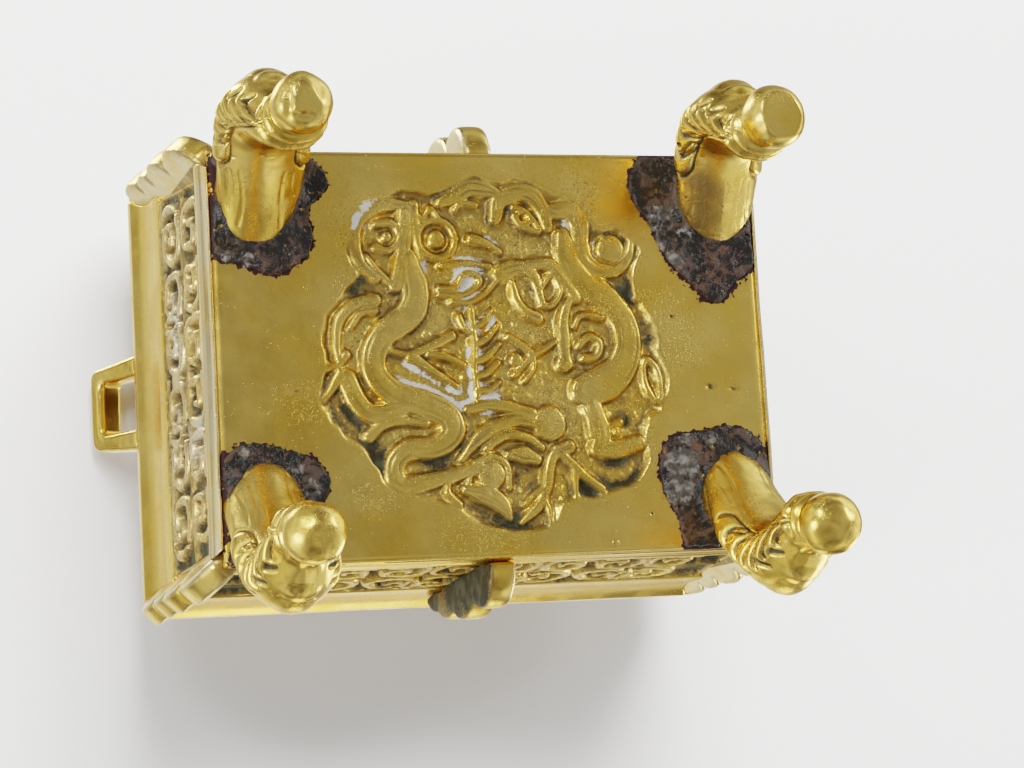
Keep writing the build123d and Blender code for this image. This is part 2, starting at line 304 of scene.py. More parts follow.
# Each stroke of the two dragons is (width, points), or (first width, ..., last).
DRAGON_STROKES = [
    # left dragon: body and tail, neck, crest and the coils round its head
    ((4.5, 6.2, 6.5, 6.0, 5.6, 5.6, 6.0, 6.4, 6.2, 5.4, 4.6, 4.4, 4.4, 3.8, 3.0, 2.6),
     [(-20, -22), (-18.5, -14), (-20.5, -9), (-26, -5), (-29, 0), (-28.5, 5), (-24.5, 9),
      (-18, 11.5), (-12.5, 14.5), (-12, 18.5), (-16, 21.2), (-22, 21.8), (-25.5, 25),
      (-24.5, 29.5), (-19.5, 29.3), (-5.5, 26.2)]),
    (3.4, [(-20, -33), (-20.5, -27), (-21.5, -21), (-23, -16)]),
    ((2.0, 3.2, 3.2, 1.8), [(-19, -34), (-25, -34.5), (-31, -31), (-32.3, -26), (-31, -21),
                            (-27.5, -17.5)]),
    (1.6, [(-27, -30), (-23, -30), (-21.6, -27), (-24, -24), (-27.5, -24.5)]),
    ((2.8, 1.0), [(-18, -34), (-17.5, -28), (-16.8, -22)]),
    (1.3, [(-18, -33), (-16, -31.4), (-14, -33.6), (-12, -31)]),
    ((1.0, 1.6), [(-29.5, -22.5), (-27, -19), (-24.5, -16.5)]),
    # its limbs and claws
    (4.2, [(-35.5, 5.5), (-33.5, 10), (-30.5, 13.4), (-26, 13.2), (-22.5, 11.5)]),
    ((2.8, 1.4), [(-31, 18.5), (-27.5, 15.8), (-23, 15), (-17.5, 16)]),
    ((1.6, 2.4), [(-41, 10), (-39, 7.5), (-37, 4)]),
    ((1.2, 2.0), [(-26, -1), (-21, 0), (-16, -1.5), (-10.5, -4)]),
    ((2.4, 1.2), [(-20.5, 0.5), (-16, 3.5), (-10, 7.5)]),
    ((1.8, 1.0), [(-16, 0), (-12, 0.8), (-8, 2.8)]),
    ((2.8, 1.6), [(-28, -12.5), (-33, -11.5), (-36.5, -8), (-37.5, -3), (-37.2, 1)]),
    (1.3, [(-28, -10), (-31.5, -9.5), (-34, -6.5)]),
    ((1.4, 2.2), [(-40.5, 3), (-37.5, 2.2), (-35.5, 0)]),
    # clouds along the top
    ((2.2, 4.0, 4.0, 2.2), [(-11.5, -35), (-8, -36.6), (-4.5, -38.6), (0, -38), (3, -36.6)]),
    ((3.0, 4.2, 4.2, 2.6), [(1.5, -31.5), (2.5, -35.3), (6.5, -37.4), (10.5, -36.8),
                            (13, -33.5), (14, -29.5)]),
    (1.3, [(6, -34), (9, -33), (12, -28.5), (8, -29.5), (6, -32)]),
    (1.3, [(-8, -33.5), (-6.5, -35), (-3, -34.4)]),
    ((2.2, 1.2), [(-4.5, -26.5), (-1, -25.5), (2, -23.5)]),
    (1.2, [(-12, -20.4), (-6, -20.8), (-0.5, -20.2)]),
    (1.2, [(-13, -15), (-9, -15.3), (-7.5, -17.8), (-5, -18.5), (-3, -16.8), (-5, -14.6),
           (-8, -13.4), (-13, -13.6)]),
    (1.3, [(-10, -12), (-6, -11.8), (-2, -13.8), (1, -17), (4.5, -19.5)]),
    # right dragon: neck and horn, body, hip, leg and foot
    ((3.4, 4.6, 4.8, 4.2, 4.2, 3.4, 2.8, 2.2, 1.4),
     [(15.5, -33), (19.5, -33), (21.8, -30), (21.8, -25.5), (22.6, -21.5), (26.5, -19.2),
      (30.5, -19.5), (33.5, -22.5), (34.3, -26)]),
    ((3.8, 6.0, 6.4, 6.4, 6.2, 6.2, 6.4, 7.0, 8.4, 7.2),
     [(17.5, -27), (19, -21.5), (22.5, -16.5), (27.5, -12), (31, -7.5), (32, -2), (30.5, 3),
      (28, 6), (25, 7.6), (21, 9)]),
    ((3.4, 4.0, 4.6), [(22, 11), (23.2, 15), (24.2, 19), (23.5, 22.5)]),
    ((4.6, 3.2), [(23.5, 22.5), (28, 22.8), (33, 21.5)]),
    ((4.2, 3.0, 1.6), [(2, -18.5), (6.5, -19.8), (10, -17.5), (11.5, -12)]),
    ((2.0, 3.4, 2.2), [(9, -20.5), (14, -20.3), (17.5, -16.5), (20, -12.5)]),
    (1.2, [(11, -14), (13, -17), (14.5, -18), (16.3, -14.5), (14, -11), (11.5, -11)]),
    ((1.2, 2.6), [(4.6, -16.5), (5.5, -12.5), (7.5, -9.5), (10.3, -8)]),
    ((1.6, 2.8, 2.8), [(19, -13), (16.7, -9), (16.3, -3), (16.2, 2)]),
    (1.5, [(20, -1.5), (22.5, -3.5), (25, -2), (24, 1), (21, 1.5)]),
    (1.2, [(19, -6), (21, -8.5), (26, -8)]),
    ((1.0, 1.9), [(3, -3.8), (6, -1.6), (8.5, 0.5)]),
    ((1.8, 1.0), [(8.5, 0.5), (6.3, 2.8), (3.8, 5.2)]),
    ((1.8, 1.0), [(8.5, 0.5), (11.5, -0.8), (14.2, -2.4)]),
    ((1.4, 0.9), [(8.6, 1), (8.6, 3.6), (6.4, 6.4)]),
    ((1.0, 1.6), [(25.4, 17.8), (28.6, 16.6)]),
    # clouds and claws along the bottom
    ((1.6, 2.7, 2.2), [(-8, 12.8), (-3, 12), (2, 12.6), (7.5, 14)]),
    ((1.4, 2.9, 2.9, 2.2), [(-9.8, 24.2), (-6.5, 20.5), (-2, 17.2), (3.5, 15.6), (8, 16.5)]),
    ((1.4, 2.2, 1.4), [(-4, 22), (1, 19), (6, 19.5), (9.5, 22)]),
    ((2.0, 4.0, 2.4), [(1.5, 23.5), (5, 23.6), (8, 24.8)]),
    (1.3, [(-8.5, 29.5), (-7, 25.4), (-2.5, 23.8), (0.8, 26), (1, 31)]),
    ((2.4, 4.6, 4.2, 1.4), [(-9, 31.3), (-4.5, 32.5), (-1, 34.8), (0.8, 38)]),
    ((3.0, 2.6, 2.4, 2.2, 1.2), [(16, 22), (12.5, 23.5), (10.8, 27), (10, 31), (8, 35),
                                 (3.5, 39)]),
    (1.2, [(9.5, 31), (7, 32.6), (4.6, 34.8)]),
    (1.2, [(9.4, 34), (10.3, 36.5), (10.5, 39.5)]),
    ((2.2, 1.6), [(13, 22.5), (17, 26.5), (19.5, 29), (23.4, 32)]),
    ((1.8, 1.0), [(17.2, 27), (17, 30), (17, 34)]),
    ((1.2, 1.8), [(-13, 28), (-13.5, 31.5), (-11, 34.5)]),
    ((1.0, 1.6), [(20, 13), (21.3, 16), (21.8, 19.5)]),
]
# Round bosses: (x, y, radius), and rings: (x, y, radius, width).
ROUND_BOSSES = [
    (11.6, 16.6, 3.9), (29, -24.2, 3.3), (-13, -26.5, 1.9), (-3, 28, 3.2), (27.6, 19, 0.9),
    (16.1, 2.6, 1.9), (-24.6, -27, 1.2),
]
ROUND_RINGS = [(-13, -26.5, 4.4, 1.5), (8.3, -31.5, 1.6, 1.0)]
LEAF = [(36, 2), (38.5, 4), (39.2, 8.5), (38.3, 12), (36, 9), (35.2, 5)]
# The middle carries a plain sprig and a pearl, in place of a written sign.
PEARL = (4.4, 1.6, 1.5)
SPRIG_WIDTHS = (1.5, 1.4, 0.9)
SPRIG = [
    [(-5.6, -10.2), (-5.2, -3.0), (-5.6, 3.0), (-5.2, 9.8)],
    [(-5.3, -6.0), (-2.6, -7.2), (-0.8, -9.8)],
    [(-5.2, -2.0), (-2.2, -3.4), (0.4, -6.4)],
    [(-5.4, 1.8), (-2.4, 0.8), (0.6, -2.0)],
    [(-5.4, 5.2), (-2.6, 4.6), (0.2, 2.2)],
    [(-5.3, 8.6), (-2.4, 8.6), (0.2, 6.8)],
    [(-8.6, -8.4), (-7.2, -5.6), (-5.4, -4.2)],
]
# Pits in the plate (x, y, radius), and its grime and white polish residue
# (x, y, radius, strength).
PIT_SPOTS = [(51.7, 8.7, 0.75), (57.2, 9.3, 0.5), (43, -8, 0.4), (-47, 8, 0.35), (35, 38, 0.4)]
GRIME_SPOTS = [
    (-36.5, 15, 4.5, 1.0), (-31, 22, 4, 0.8), (-3, 39, 8, 0.9), (19, 32, 4, 0.9),
    (28, 28, 6, 1.0), (31.5, 14.5, 4, 0.9), (33, -25, 4, 0.8), (33, -14, 3.5, 0.9),
    (37, -4, 4, 0.6), (-31, -15, 3.5, 0.7), (-33.5, -25, 2.5, 0.9), (-16, 23, 4, 0.9),
    (5, 29, 3, 0.8), (-28, 26, 3.5, 0.7), (-4, 4, 3, 0.5), (22, 2, 4, 0.4), (-27, 9.5, 3, 0.5),
]
RESIDUE_SPOTS = [
    (-31, -30.5, 2.8, 1.1), (-28.5, -33, 3.0, 0.8), (-17, -20, 2.6, 0.9), (-21, 4, 3.5, 1.0),
    (-16, 8.4, 3.5, 1.0), (-5.4, 0, 2.6, 1.0), (-5.4, 8.5, 3.0, 1.0), (19.5, -31, 3, 0.6),
    (25, -24, 3, 0.5), (-8, 11.5, 3, 1.0), (-6, -19.5, 5, 0.9), (-7, -14, 5, 0.8),
    (-5.4, -6, 2.6, 1.0), (-5.4, 4, 2.8, 1.0), (-1.5, -7.5, 2.4, 0.9), (-20, 6.8, 5, 0.9),
    (-11, 9.8, 4, 0.9), (-3, 10.8, 4.5, 1.0), (0, -26, 3, 0.6), (-27, -34, 3, 0.5),
    (2.2, -19, 3, 0.5),
]


def spot_field(x, y, spots):
    """The strongest of several soft round spots (x, y, radius, strength)."""
    field = np.zeros(x.shape)
    for sx, sy, radius, strength in spots:
        reach = np.hypot(x - sx, y - sy) / radius
        field = np.maximum(field, strength * smoothstep(1.25, 0.35, reach))
    return field


def relief_strokes(x, y):
    """How far each point lies inside the raised shapes, and how deep the cut lines are."""
    depth = np.full(x.shape, -1e3)
    strokes = [(width, points, False) for width, points in DRAGON_STROKES]
    strokes += [(SPRIG_WIDTHS, points, False) for points in SPRIG]
    strokes += [(1.4, LEAF, True)]
    for width, points, closed in strokes:
        depth = np.maximum(depth, inside_stroke(x, y, points, width, closed))
    incised = np.exp(-((depth - 1.15) / 0.26) ** 2) * (depth < 2.6)
    incised *= smoothstep(-0.1, 0.5, flat_noise(x, y, 5.0, 25))
    for cx, cy, radius in ROUND_BOSSES + [PEARL]:
        depth = np.maximum(depth, radius - np.hypot(x - cx, y - cy))
    for cx, cy, radius, width in ROUND_RINGS:
        depth = np.maximum(depth, width / 2 - abs(np.hypot(x - cx, y - cy) - radius))
    return depth, incised


def roundel_marks(x, y, edge, shape, ground, sunk, incised):
    """Grime with painted shade, residue and graininess of the relief, where 0 is none."""
    # painted shade: the grime is laid heavier at the feet of the raised shapes and along the sunk
    # area's edge
    foot = smoothstep(-3.2, -0.6, shape) + smoothstep(3.4, 1.0, edge)
    patchy = flat_noise(x, y, 2.4, 33, rough_noise)
    grime_and_shade = spot_field(x, y, GRIME_SPOTS) * (0.15 + 0.85 * ground * np.minimum(foot, 1.0))
    grime_and_shade = (grime_and_shade + 0.30 * ground * foot) * smoothstep(-0.9, 0.3, patchy + 0.5 * ground)
    # painted shade: a dark line runs round each raised shape and along the sunk area's edge
    outline = np.exp(-((shape + 0.45) / 0.50) ** 2) + np.exp(-((edge - 0.5) / 0.7) ** 2)
    grime_and_shade = np.maximum(grime_and_shade, 0.62 * outline * sunk * smoothstep(-0.7, 0.5, patchy))
    grime_and_shade = np.maximum(grime_and_shade, 0.40 * incised * sunk)
    lodged = np.maximum(ground, 0.9 * np.exp(-((edge + 0.2) / 1.5) ** 2))
    residue = spot_field(x, y, RESIDUE_SPOTS) * smoothstep(0.15, 0.7, lodged + 0.3 * patchy)
    residue *= np.maximum(smoothstep(-1.9, -0.9, shape), smoothstep(1.5, 0.5, edge))
    scuffed = flat_noise(x, y, 11.0, 35)
    grainy = smoothstep(-6, 1, edge) * (0.30 + 0.70 * ground) * smoothstep(-0.8, 0.4, patchy)
    grainy = np.maximum(grainy, 0.55 * smoothstep(-16, -2, edge) * smoothstep(0.0, 0.5, scuffed))
    return grime_and_shade, residue, grainy


def roundel(x, y):
    """How far the relief stands below the plate, and its marks."""
    wobble = 0.35 * flat_noise(x, y, 3.0, 5)
    edge = inside_outline(x, y, SUNK_OUTLINE) + 2 * wobble
    slope = 1.6 + 1.4 * smoothstep(0, 1, flat_noise(x, y, 17, 8))
    sunk = smoothstep(0.0, 1.0, edge / slope)
    shape, incised = relief_strokes(x, y)
    shape = shape + 0.4 * wobble
    raised = smoothstep(-0.95, 0.5, shape)
    ground = sunk * (1.0 - raised)
    grain = flat_noise(x, y, 1.6, 21, rough_noise)
    height = -SUNK_DEPTH * ground * (0.85 + 0.3 * grain)
    height += sunk * raised * (0.02 + 0.34 * smoothstep(-0.2, 2.4, shape)) - 0.13 * incised * sunk
    facets = flat_noise(x, y, 4.0, 23)
    height += 0.05 * grain * smoothstep(-4, 3, edge) + 0.10 * facets * sunk * raised
    return height, roundel_marks(x, y, edge, shape, ground, sunk, incised)


LEG_NAMES = [end + "_" + side for end in ENDS for side in SIDES]
INSIDE_DIRT = 0.34  # on the bowl's floor, which the photo doesn't show
ROUNDEL_STEP = 0.31  # between the plate's points where the roundel is


def plate_margin(x, y):
    """How far a place lies in from the nearest edge of the plate."""
    return np.minimum(HALF_X - abs(x), HALF_Y - abs(y))


def cast_sheet(name, x, y, height, backs):
    """A solid with a relief that stands `height` below the plate's underside.

    backs are the rings that close its back, as (scale from the middle, z).
    """
    rows, cols = x.shape
    front = np.stack([x, y, PLATE_Z - height], -1).reshape(-1, 3)
    border = np.concatenate([
        np.arange(cols), np.arange(1, rows) * cols + cols - 1,
        np.arange(cols - 2, -1, -1) + (rows - 1) * cols, np.arange(rows - 2, 0, -1) * cols])
    points, faces, loop = front, list(grid_quads(rows, cols)), border
    for scale, z in backs:
        ring = np.arange(len(border)) + len(points)
        faces += list(np.stack([loop, np.roll(loop, -1), np.roll(ring, -1), ring], 1))
        back = front[border] * (scale, scale, 0) + (0, 0, z)
        points, loop = np.concatenate([points, back]), ring
    return make_object(name, points, [*faces, loop])


def spaced(low, high, fine_low, fine_high, fine, coarse):
    """Positions from low to high that crowd together in the middle stretch."""
    left = np.linspace(low, fine_low, max(2, int((fine_low - low) / coarse)), endpoint=False)
    middle = np.arange(fine_low, fine_high, fine)
    right = np.linspace(fine_high, high, max(2, int((high - fine_high) / coarse)))
    return np.concatenate([left, middle, right])


def make_plate(material):
    xs = spaced(-HALF_X, HALF_X, -43.5, 43, ROUNDEL_STEP, 0.9)
    ys = spaced(-HALF_Y, HALF_Y, -43, 43, ROUNDEL_STEP, 0.6)
    x, y = np.meshgrid(xs, ys)
    height, (grime_and_shade, residue, grainy) = roundel(x, y)
    height += 0.05 * flat_noise(x, y, 23, 3) + 0.02 * flat_noise(x, y, 6, 4)
    for px, py, radius in PIT_SPOTS:
        reach = np.hypot(x - px, (y - py) * 1.2) / radius
        height -= 0.6 * smoothstep(1.2, 0.4, reach)
        grime_and_shade = np.maximum(grime_and_shade, smoothstep(1.3, 0.7, reach))
    height -= 0.5 * smoothstep(0.7, 0.0, plate_margin(x, y))
    # the upper side is one flat face inside a narrow border that the walls cover
    piece = cast_sheet("base_plate_cast", x, y, height, [(1, PLATE_HIGH[2]), (0.98, PLATE_HIGH[2])])
    cover = sum(leg_cover(name, x, y) for name in LEG_NAMES)
    set_fields(piece, INSIDE_DIRT, dirt=grime_and_shade)
    set_fields(piece, residue=residue, grainy=grainy, stain=blur(cover, 6))
    finish_piece(piece, material, "brass", "base_plate")


# ---- legs ---------------------------------------------------------------
# Middle of each leg at the plate, at the knee and at the toe (x, y).
LEG_POINTS = {
    "front_left": ((-54.6, -36.2), (-56.3, -51.2), (-53.8, -44.8)),
    "front_right": ((55.6, -34.6), (52.6, -50.8), (51.2, -43.2)),
    "rear_left": ((-55.6, 34.5), (-55.2, 50.6), (-55.3, 43.2)),
    "rear_right": ((55.7, 34.3), (57.6, 51.2), (57.6, 45.0)),
}
# The beast-head leg, drawn with a across, o outwards and d down from the plate: how
# far out its knee stands, and how far its toe comes back in.
KNEE_OUT = 15.6
TOE_BACK = 6.6
LEG_RADIUS = math.degrees(0.15)  # turns an angle round the leg into a length q
LEG_VOXEL = 0.32  # grid of the leg's skin
# Sections of the column and head: (d, middle o, half width, half depth).
COLUMN_SECTIONS = [
    (-1.6, -0.6, 9.1, 9.1), (0, 0, 9.1, 9.1), (4, 2.4, 9.2, 9.0), (8, 5.7, 9.3, 8.8),
    (12, 9.3, 9.4, 8.6), (16, 12.2, 9.4, 8.2), (20, 14.4, 9.2, 7.9), (24, 14.6, 8.9, 7.9),
    (28, 13.4, 8.4, 7.9), (32, 11.4, 7.6, 7.6), (35, 9.9, 6.6, 6.7), (38, 9.2, 5.6, 5.6),
    (44, 9.2, 5.0, 5.0), (47, 9.4, 4.6, 4.6),
]
# Rounded lumps set on it: (o, d, half width, half depth, half height).
LEG_LUMPS = [
    (9.5, 47.8, 6.7, 6.6, 6.3),
    (8.2, 41.6, 6.8, 6.2, 2.4),
    (7.7, 37.8, 7.2, 6.1, 2.6),
    (16.0, 22.6, 6.6, 7.7, 9.4),
    (15.2, 28.8, 5.8, 6.2, 5.0),
]
# The mane on each side is the same lock set one below the other: points (q round
# the leg, d) of its line, and of the cut along its middle.
LOCK = [(7.4, 14.6), (10.2, 11.6), (14.2, 11.2), (17.8, 14.4), (18.4, 18.6)]
LOCK_CUT = [(9.6, 14.6), (13.0, 13.4), (15.8, 16.4)]
LOCK_COUNT = 6
LOCK_DROP = 4.1
LOCK_WIDTHS = (1.6, 3.2, 3.4, 3.0, 1.2)
INCISED = [
    [(19.5, 4.0), (20.5, 8.5), (20.0, 12.0)], [(22.5, 3.0), (23.0, 8.0), (22.0, 13.0)],
    [(13.0, 6.5), (16.0, 4.0), (17.5, 1.5)],
]
SLITS = [[(8.4, 29.0), (11.6, 26.4)], [(7.8, 33.8), (10.6, 31.8)]]
# How much wider than the drawn leg each is on the side towards the plate's middle,
# and how many millimetres its root spreads that way.
INNER_GIRTH = {"front_left": 0.14, "front_right": 0.16, "rear_left": 0.04, "rear_right": 0.02}
ROOT_SPREAD = {"front_left": 2.4, "front_right": 1.2, "rear_left": 2.0, "rear_right": 1.7}
# Each toe's ball: its girth, how far it would stand past the flat filed on its end,
# and the flat's lean across and outwards. The rear ones are left round.
TOES = {
    "front_left": (1.0, 0.7, 0.10, 0.16),
    "front_right": (1.07, 1.5, -0.08, 0.20),
    "rear_left": (1.0, 0.0, 0.0, 0.0),
    "rear_right": (1.04, 0.0, 0.0, 0.0),
}
TOE_MIDDLE = (9.5, 47.8)  # of the ball: o and d
TOE_TOP = 46.0  # from here down the ball is stretched
TOE_END = 53.32
TOE_EDGE = 6.0  # how sharp the edge of a filed flat is
# Dents in the toes: (a, o, half width, half height, depth).
TOE_DENTS = {
    "front_left": [(0.6, 5.6, 2.6, 1.0, 1.3), (3.8, 8.0, 1.0, 2.6, 0.9),
                   (-3.2, 11.0, 1.6, 2.4, 0.7)],
    "front_right": [(-4.4, 6.0, 1.5, 2.0, 0.3)],
    "rear_left": [(-0.8, 10.8, 3.0, 1.6, 0.35), (2.6, 5.6, 1.6, 2.2, 0.25)],
    "rear_right": [(-2.2, 11.8, 2.6, 1.7, 0.4), (3.0, 7.0, 1.6, 2.2, 0.25)],
}
# Pitted, dull patch on a leg, also darkened with painted shade: (q, d, radius), q less than 0
# towards the plate's middle.
PITTED_AND_SHADED = {"front_right": (-22.0, 7.5, 10.0)}


def loft(sections, around=64):
    """Points and faces of a closed tube through horizontal ellipses."""
    angle = np.linspace(0, 2 * math.pi, around, endpoint=False)
    points = []
    for d, middle, half_width, half_depth in sections:
        ring = [half_width * np.sin(angle), middle + half_depth * np.cos(angle), d + 0 * angle]
        points.append(np.stack(ring, 1))
    count = len(sections)
    faces = [list(f) for f in grid_quads(count, around, wrap=True)]
    faces.append(list(range(around)))
    faces.append(list(range((count - 1) * around, count * around)))
    return np.concatenate(points), faces


def lump_sections(o, d, half_width, half_depth, half_height):
    """Sections of a lump that is round in every direction."""
    angle = np.linspace(0.06, math.pi - 0.06, 20)
    wide = np.sin(angle)
    rows = [d - half_height * np.cos(angle), o + 0 * angle, half_width * wide, half_depth * wide]
    return np.stack(rows, 1)


def leg_centre(d):
    """Middle of the plain leg at a depth, outwards from its root."""
    depths, middles = np.transpose(COLUMN_SECTIONS)[:2]
    return np.interp(d, depths, middles)


def lock_relief(q, d):
    """Height of the mane's locks, and how deep the cuts between them are."""
    height = np.zeros(q.shape)
    cuts = np.zeros(q.shape)
    for k in range(LOCK_COUNT):
        shift = d - LOCK_DROP * k
        small = 1.0 - 0.03 * k
        depth = inside_stroke(q / small, shift, LOCK, LOCK_WIDTHS)
        slope = 0.62 + 0.38 * smoothstep(3.0, -3.0, shift - 14.0)
        height = np.maximum(height, slope * smoothstep(-0.4, 1.0, depth))
        cuts = np.maximum(cuts, np.exp(-((depth + 0.25) / 0.32) ** 2))
        middle = inside_stroke(q / small, shift, LOCK_CUT, 0.5)
        cuts = np.maximum(cuts, 0.7 * smoothstep(-0.35, 0.2, middle))
    for line in INCISED:
        cuts = np.maximum(cuts, 0.3 * smoothstep(-0.3, 0.3, inside_stroke(q, d, line, (0.9, 0.3))))
    return height, cuts


def leg_details(a, o, d, seed):
    """How far each skin point moves outwards, the grime in its cuts, and its q."""
    q = LEG_RADIUS * np.arctan2(a, o - leg_centre(d))
    points = np.stack([a, o, d], 1)
    sway_q = 0.7 * noise(points, 7.0, seed + 5)
    sway_d = 1.1 * noise(points, 7.0, seed + 6)
    height, cuts = lock_relief(abs(q) + sway_q, d + sway_d)
    slits = np.zeros(q.shape)
    for slit in SLITS:
        slits = np.maximum(slits, smoothstep(-0.5, 0.5, inside_stroke(abs(q), d, slit, (0.6, 1.5))))
    side_only = smoothstep(8.5, 12.0, abs(q)) * smoothstep(41, 37, d)
    cuts = cuts * side_only
    move = 0.9 * height * side_only - 0.55 * cuts - 0.9 * slits
    wrinkle = np.sin(q * 1.3 + 2.0 * noise(points, 5, seed)) * smoothstep(33, 36, d)
    move += 0.08 * wrinkle * smoothstep(43.5, 40, d)
    move += 0.22 * noise(points, 6.0, seed + 1) + 0.05 * noise(points, 1.9, seed + 2)
    pits = smoothstep(0.70, 0.86, noise(points, 1.1, seed + 3))
    move -= 0.22 * pits * smoothstep(0.1, 0.5, noise(points, 9, seed + 4)) * smoothstep(40, 30, d)
    return move, np.maximum(cuts, 1.2 * slits), q


def shape_toe(p, name, seed):
    """Dents the toe's ball, brings its end down to the floor and files the front ones."""
    girth, past, lean_across, lean_out = TOES[name]
    middle_o, middle_d = TOE_MIDDLE
    ball = smoothstep(43.5, 45.5, p[:, 2])
    from_middle = p - (0.0, middle_o, middle_d)
    dent = 0.25 * noise(p, 4.0, seed + 11)
    for a, o, half_width, half_height, depth in TOE_DENTS[name]:
        reach = ((p[:, 0] - a) / half_width) ** 2 + ((p[:, 1] - o) / half_height) ** 2
        dent -= depth * np.exp(-reach) * (p[:, 2] > middle_d)
    size = np.linalg.norm(from_middle, axis=1)[:, None]
    p = p + (ball * dent)[:, None] * from_middle / size
    p[:, 0] *= 1 + (girth - 1) * ball
    p[:, 1] += (girth - 1) * ball * (p[:, 1] - middle_o)
    below = np.maximum(p[:, 2] - TOE_TOP, 0)
    p[:, 2] += below * ((TOE_END + past - TOE_TOP) / below.max() - 1)
    if past:
        lines = 0.03 * np.sin(7.0 * (p[:, 0] + 0.6 * p[:, 1]) + 3 * noise(p, 3, seed))
        lean = lean_across * p[:, 0] + lean_out * (p[:, 1] - middle_o)
        flat = np.minimum(TOE_END - 0.25 + lean, TOE_END - 0.03) + lines
        p[:, 2] = flat - np.log1p(np.exp(TOE_EDGE * (flat - p[:, 2]))) / TOE_EDGE
    return p


def leg_skin(name):
    """One skin round the drawn leg's column and lumps."""
    points, faces = [], []
    column = curve(COLUMN_SECTIONS, step=0.8)
    for sections in [column, *(lump_sections(*lump) for lump in LEG_LUMPS)]:
        shell, skin = loft(sections)
        faces += [[index + sum(map(len, points)) for index in face] for face in skin]
        points.append(shell)
    return cast_skin(make_object(name + "_leg_cast", np.concatenate(points), faces), LEG_VOXEL, 3)


def stand_leg(p, name, across, out):
    """Leans a drawn leg the way it stands on the plate, in the frame's axes."""
    root, knee, toe = (np.array(point) for point in LEG_POINTS[name])
    first, second = smoothstep(0, 21, p[:, 2]), smoothstep(21, 49, p[:, 2])
    swing = knee - root - (0, KNEE_OUT * out)
    curl = toe - knee + (0, TOE_BACK * out)
    return np.stack([root[0] + across * p[:, 0] + swing[0] * first + curl[0] * second,
                     root[1] + out * p[:, 1] + swing[1] * first + curl[1] * second,
                     PLATE_Z - p[:, 2]], 1)


def pitted_and_shaded_patch(name, q, d):
    """1 in the middle of a leg's pitted patch, which also carries painted shade, 0 away from it."""
    if name not in PITTED_AND_SHADED:
        return np.zeros(len(q))
    patch_q, patch_d, radius = PITTED_AND_SHADED[name]
    return smoothstep(1.1, 0.4, np.hypot(q - patch_q, d - patch_d) / radius)


def make_leg(name, seed, material):
    end, side = name.split("_")
    piece = leg_skin(name)
    p = read_points(piece)
    move, cuts, q = leg_details(*p.T, seed)
    p = p + move[:, None] * point_normals(piece)
    widen = INNER_GIRTH[name] * smoothstep(45, 41, p[:, 2]) * smoothstep(-1, 6, p[:, 2])
    p[:, 0] *= 1 + widen * (p[:, 0] < 0)
    p[:, 1] -= ROOT_SPREAD[name] * smoothstep(10, 0, p[:, 2]) * smoothstep(0, -9, p[:, 1])
    p = shape_toe(p, name, seed)
    placed = stand_leg(p, name, SIDES[side], ENDS[end])
    write_points(piece, placed)
    if SIDES[side] * ENDS[end] > 0:
        piece.data.flip_normals()
    groove = np.exp(-((p[:, 2] - 45.2) / 0.8) ** 2)
    pitted_and_shaded = pitted_and_shaded_patch(name, q, p[:, 2])
    rough = 0.34 * smoothstep(-0.3, 0.7, noise(placed, 6.0, seed + 12))
    patchy = smoothstep(-0.2, 0.6, noise(placed, 2.5, seed + 9))
    set_fields(piece, grainy=np.maximum(1.1 * pitted_and_shaded, rough), residue=0.55 * groove * patchy)
    # painted shade: the pitted patch is darkened beyond its pitting
    mark_hollows(piece, 16, 0.28, 0.55 * smoothstep(0.3, 1.2, cuts) + 0.34 * pitted_and_shaded)
    finish_piece(piece, material, "brass", name + "_leg")


# ---- walls --------------------------------------------------------------
# Outer profile of a wall: (distance out from the plate's edge, height above
# the plate's underside). The short walls carry the bead, the long ones a bevel.
BEAD = [(0.4, 0.0), (1.5, 1.6), (2.05, 4.2), (2.0, 6.6), (1.2, 9.0)]
BEVEL = [(0.0, 3.0), (0.2, 3.15), (1.0, 10.5), (0.1, 11.3)]
PANEL = [(0.1, 11.9), (3.1, 46.2)]
FLARE = [(4.4, 50.5), (4.45, 55.0), (4.8, 60.0), (5.7, 64.2), (7.05, 67.5)]
RIM_BAND = [(7.2, 67.9), (7.2, 71.3), (6.85, 71.7), (0.0, 71.7)]
INSIDE = [(0.5, 50.0), (-3.0, 3.0)]
MITRE = 6 / math.sqrt(2)  # how far a wall's ends stop short of the corner
DULL_TOP = 71.0  # the inside is dull up to here, just below the rim's top
WALL_STEP = 0.5

# The relief of one wall, from its middle outwards: (distance along, height).
LOWER_HOOK = [(-4.6, 12.6), (4.4, 12.6), (4.4, 23.6), (-3.4, 23.6), (-3.4, 17.0), (0.9, 17.0),
              (0.9, 20.2)]
UPPER_SCROLL = [(4.4, 30.6), (0.4, 29.2), (-3.8, 31.4), (-5.0, 36.4), (-2.4, 41.2), (2.4, 41.8),
                (4.4, 38.6), (2.4, 35.4), (-0.4, 37.0)]
UPPER_CURL = [(5.4, 43.8), (8.0, 41.2), (8.2, 36.2), (6.6, 32.6)]
HOOK_STEP = 13.2


def evenly(points, step):
    """The same broken line with points no further apart than a step."""
    out = [np.array(points[0], float)]
    for point in np.asarray(points[1:], float):
        start = out[-1]
        count = max(1, int(math.ceil(np.linalg.norm(point - start) / step)))
        out += [start + (point - start) * k / count for k in range(1, count + 1)]
    return np.array(out)


def wall_profile(short):
    """Outer side from the bottom up, and the rest of the loop back down inside."""
    foot = [(0.0, 0.25), *curve(BEAD, 0.45)] if short else evenly(BEVEL, 0.5)
    start = PANEL[0] if not short else (0.1, 9.9)
    panel = evenly([start, *PANEL[1:], (4.0, 46.7), FLARE[0]], 0.42)
    flare = curve(FLARE, 0.9)[1:]
    outer = np.concatenate([foot, panel, flare, evenly(RIM_BAND[:3], 0.8)])
    inner = evenly([RIM_BAND[3], *INSIDE, (0.0, 3.0)], 1.2)
    return outer, inner


